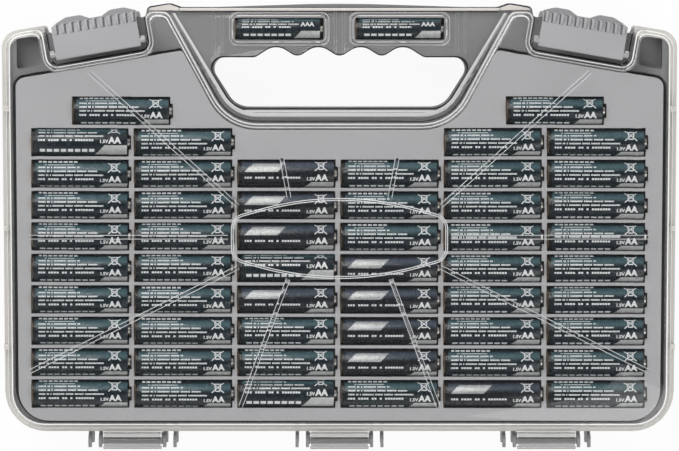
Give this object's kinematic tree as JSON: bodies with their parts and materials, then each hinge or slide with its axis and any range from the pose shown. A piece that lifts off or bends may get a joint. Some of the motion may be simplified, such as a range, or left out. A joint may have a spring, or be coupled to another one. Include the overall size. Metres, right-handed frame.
{
  "type": "battery storage case",
  "caption": "Flat double-sided carrying case with hinged clear lids, snap latches, a finger-grip handle and ribbed wells that hold rows of round cells.",
  "frame": {"origin": "centre of the case's outline, on the plane of the rear lid's outer face", "axes": "+X along the hinges, +Y from the hinges to the handle, +Z out of the front lid"},
  "size_m": [0.344, 0.2283, 0.064],
  "materials": {
    "grey_plastic": "satin",
    "tray_plastic": "satin",
    "latch_plastic": "satin",
    "clear_plastic": "polished clear",
    "cell_wrap": "gloss"
  },
  "bodies": {
    "case": {"frame": "grey_plastic", "front_tray": "tray_plastic", "rear_tray": "tray_plastic", "aa_row_1": "cell_wrap", "aa_row_2": "cell_wrap", "aa_row_3": "cell_wrap", "aa_row_4": "cell_wrap", "aa_row_5": "cell_wrap", "aa_row_6": "cell_wrap", "aa_row_7": "cell_wrap", "aa_row_8": "cell_wrap", "aa_row_9": "cell_wrap", "aa_top_left": "cell_wrap", "aa_top_right": "cell_wrap", "aaa_left": "cell_wrap", "aaa_right": "cell_wrap"},
    "front_lid": {"front_lid": "clear_plastic"},
    "rear_lid": {"rear_lid": "clear_plastic"},
    "front_left_latch": {"front_left_latch": "latch_plastic"},
    "front_right_latch": {"front_right_latch": "latch_plastic"},
    "rear_left_latch": {"rear_left_latch": "latch_plastic"},
    "rear_right_latch": {"rear_right_latch": "latch_plastic"}
  },
  "joints": [
    {"name": "front_lid_hinge", "type": "hinge", "parent": "case", "child": "front_lid", "pos_m": [0, -0.10985, 0.046], "axis": [1, 0, 0], "range_deg": [0, 140]},
    {"name": "rear_lid_hinge", "type": "hinge", "parent": "case", "child": "rear_lid", "pos_m": [0, -0.10985, 0.018], "axis": [-1, 0, 0], "range_deg": [0, 140]},
    {"name": "front_left_latch_hinge", "type": "hinge", "parent": "front_lid", "child": "front_left_latch", "pos_m": [-0.12227, 0.09113, 0.0603], "axis": [0.9854, 0.1702, 0], "range_deg": [0, 100]},
    {"name": "front_right_latch_hinge", "type": "hinge", "parent": "front_lid", "child": "front_right_latch", "pos_m": [0.12227, 0.09113, 0.0603], "axis": [0.9854, -0.1702, 0], "range_deg": [0, 100]},
    {"name": "rear_left_latch_hinge", "type": "hinge", "parent": "rear_lid", "child": "rear_left_latch", "pos_m": [-0.12227, 0.09113, 0.0037], "axis": [-0.9854, -0.1702, 0], "range_deg": [0, 100]},
    {"name": "rear_right_latch_hinge", "type": "hinge", "parent": "rear_lid", "child": "rear_right_latch", "pos_m": [0.12227, 0.09113, 0.0037], "axis": [-0.9854, 0.1702, 0], "range_deg": [0, 100]}
  ]
}
